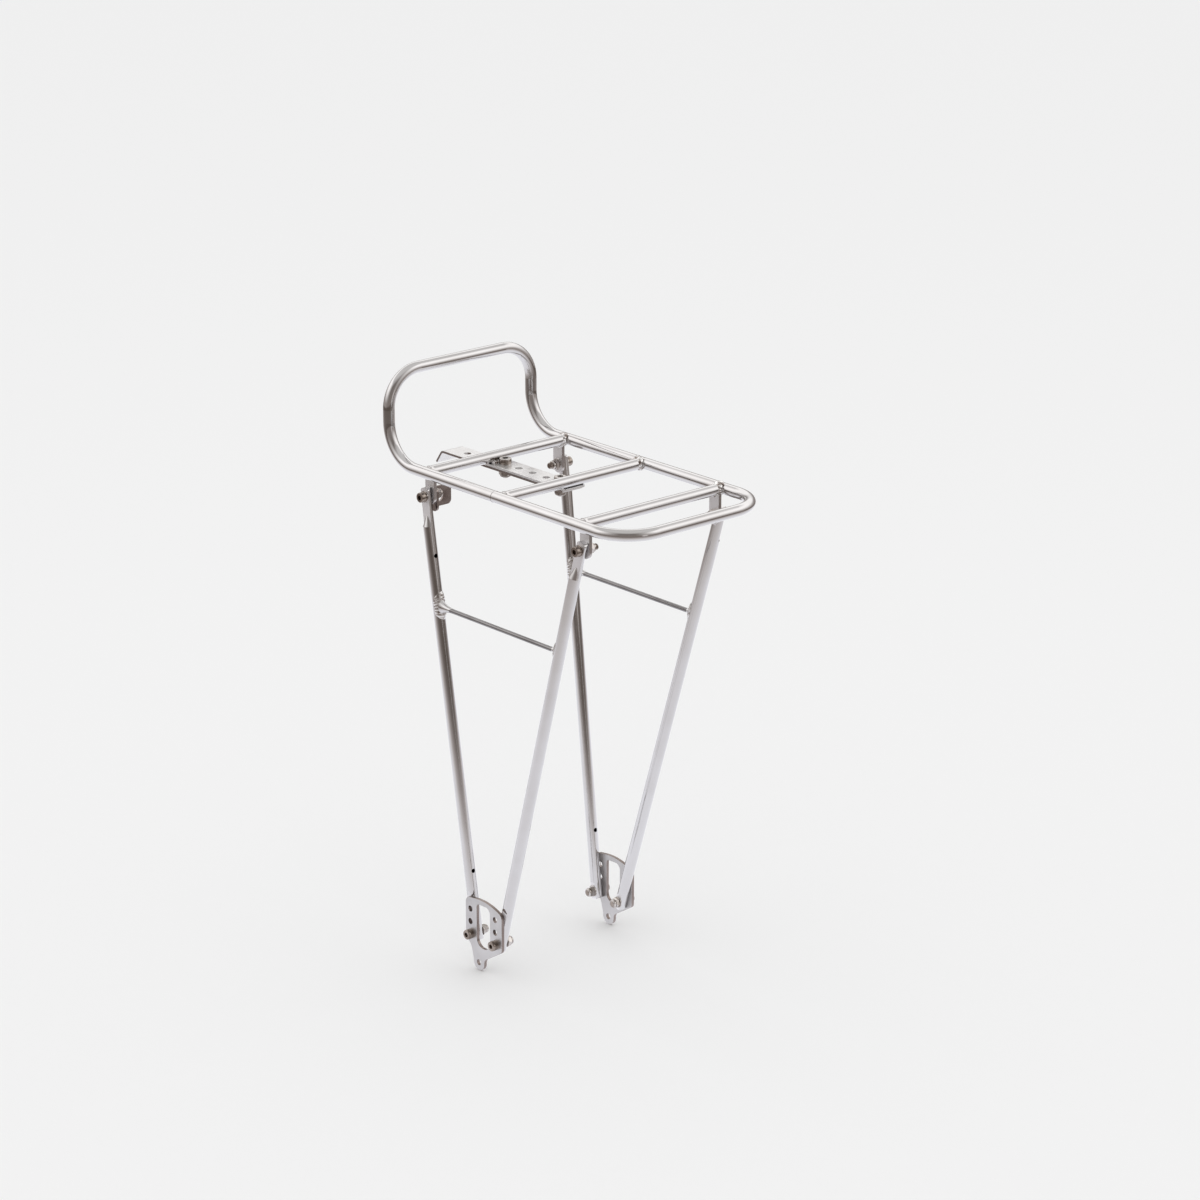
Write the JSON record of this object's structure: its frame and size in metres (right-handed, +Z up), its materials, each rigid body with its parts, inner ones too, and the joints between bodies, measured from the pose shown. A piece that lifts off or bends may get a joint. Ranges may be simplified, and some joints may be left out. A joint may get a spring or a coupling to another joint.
{
  "type": "rear rack",
  "caption": "Tubular bicycle rear rack: a raised hoop at the saddle end, a flat deck with crossbars, V-shaped legs, bolted dropout plates and a sliding bridge strip.",
  "frame": {"origin": "midway between the two dropout eyelets, on their common axis", "axes": "+X towards the tail of the bike, +Y to the bike's right, +Z up"},
  "size_m": [0.3248, 0.1682, 0.5182],
  "materials": {
    "polished_tube": "polished stainless tube",
    "brushed_plate": "tumbled stainless plate",
    "satin_strip": "satin stainless strip",
    "fastener_steel": "bright stainless fasteners",
    "weld_metal": "brushed weld bead"
  },
  "bodies": {
    "rack_frame": {"saddle_hoop_tube": "polished_tube", "tail_loop_tube": "polished_tube", "crossbar_front": "polished_tube", "crossbar_middle": "polished_tube", "crossbar_rear": "polished_tube", "leg_left_front": "polished_tube", "leg_left_rear": "polished_tube", "leg_right_front": "polished_tube", "leg_right_rear": "polished_tube", "leg_tab_left_front": "brushed_plate", "leg_tab_left_rear": "brushed_plate", "leg_tab_right_front": "brushed_plate", "leg_tab_right_rear": "brushed_plate", "side_rod_left": "polished_tube", "side_rod_right": "polished_tube", "dropout_plate_left": "brushed_plate", "dropout_plate_right": "brushed_plate", "bridge_plate": "satin_strip", "bridge_weld_beads": "weld_metal", "lamp_bracket": "satin_strip", "leg_top_screws": "fastener_steel", "leg_top_washers": "fastener_steel", "leg_top_locknuts": "fastener_steel", "dropout_screws": "fastener_steel", "dropout_washers": "fastener_steel", "dropout_locknuts": "fastener_steel", "bridge_screws": "fastener_steel", "bridge_washers": "fastener_steel", "bridge_locknuts": "fastener_steel"},
    "bridge_strip_slider": {"bridge_strip": "satin_strip"}
  },
  "joints": [
    {"name": "bridge_slide", "type": "slide", "parent": "rack_frame", "child": "bridge_strip_slider", "axis": [1, 0, 0], "range_m": [-0.008, 0.032]}
  ]
}
